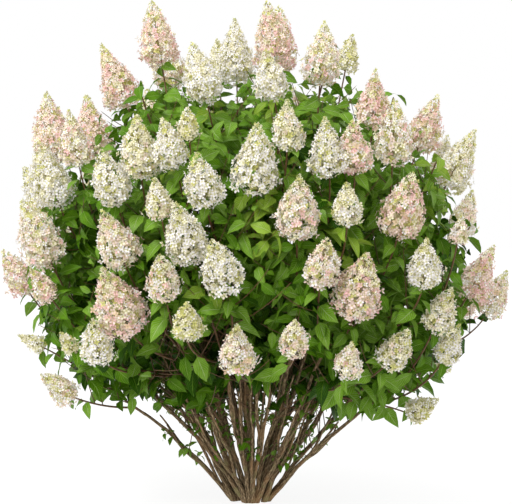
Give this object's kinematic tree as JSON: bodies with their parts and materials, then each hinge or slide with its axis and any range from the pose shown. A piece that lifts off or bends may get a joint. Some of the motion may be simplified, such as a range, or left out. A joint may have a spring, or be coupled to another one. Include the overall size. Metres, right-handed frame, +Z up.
{
  "type": "panicle hydrangea shrub",
  "caption": "Rounded flowering shrub: many bare stems fan out from one woody foot into a full leafy crown set with upright cone-shaped flower heads.",
  "frame": {"origin": "middle of the flat cut under the root crown, at ground level", "axes": "+Z up, -Y towards the viewer of the picture, +X to the viewer's right"},
  "size_m": [2.0052, 1.9661, 1.9933],
  "materials": {
    "bark": "dull grey-brown bark",
    "foliage": "matt green leaves with pale flower heads"
  },
  "bodies": {
    "root": {"bough_back_low_left": "bark", "bough_back_low_middle_left": "bark", "bough_back_low_middle_right": "bark", "bough_back_low_right": "bark", "bough_back_top": "bark", "bough_back_upper": "bark", "bough_back_upper_left": "bark", "bough_back_upper_right": "bark", "bough_front_left": "bark", "bough_front_low": "bark", "bough_front_low_left": "bark", "bough_front_low_right": "bark", "bough_front_middle": "bark", "bough_front_right": "bark", "bough_front_top": "bark", "bough_front_upper_left": "bark", "bough_front_upper_right": "bark", "bough_left": "bark", "bough_low_left": "bark", "bough_low_right": "bark", "bough_right": "bark", "bough_top": "bark", "bough_top_left": "bark", "bough_top_right": "bark", "bough_upper_left": "bark", "bough_upper_right": "bark", "mass_back_low_left": "foliage", "mass_back_low_middle_left": "foliage", "mass_back_low_middle_right": "foliage", "mass_back_low_right": "foliage", "mass_back_top": "foliage", "mass_back_upper": "foliage", "mass_back_upper_left": "foliage", "mass_back_upper_right": "foliage", "mass_front_left": "foliage", "mass_front_low": "foliage", "mass_front_low_left": "foliage", "mass_front_low_right": "foliage", "mass_front_middle": "foliage", "mass_front_right": "foliage", "mass_front_top": "foliage", "mass_front_upper_left": "foliage", "mass_front_upper_right": "foliage", "mass_left": "foliage", "mass_low_left": "foliage", "mass_low_right": "foliage", "mass_right": "foliage", "mass_top": "foliage", "mass_top_left": "foliage", "mass_top_right": "foliage", "mass_upper_left": "foliage", "mass_upper_right": "foliage", "root_crown": "bark"}
  },
  "joints": []
}
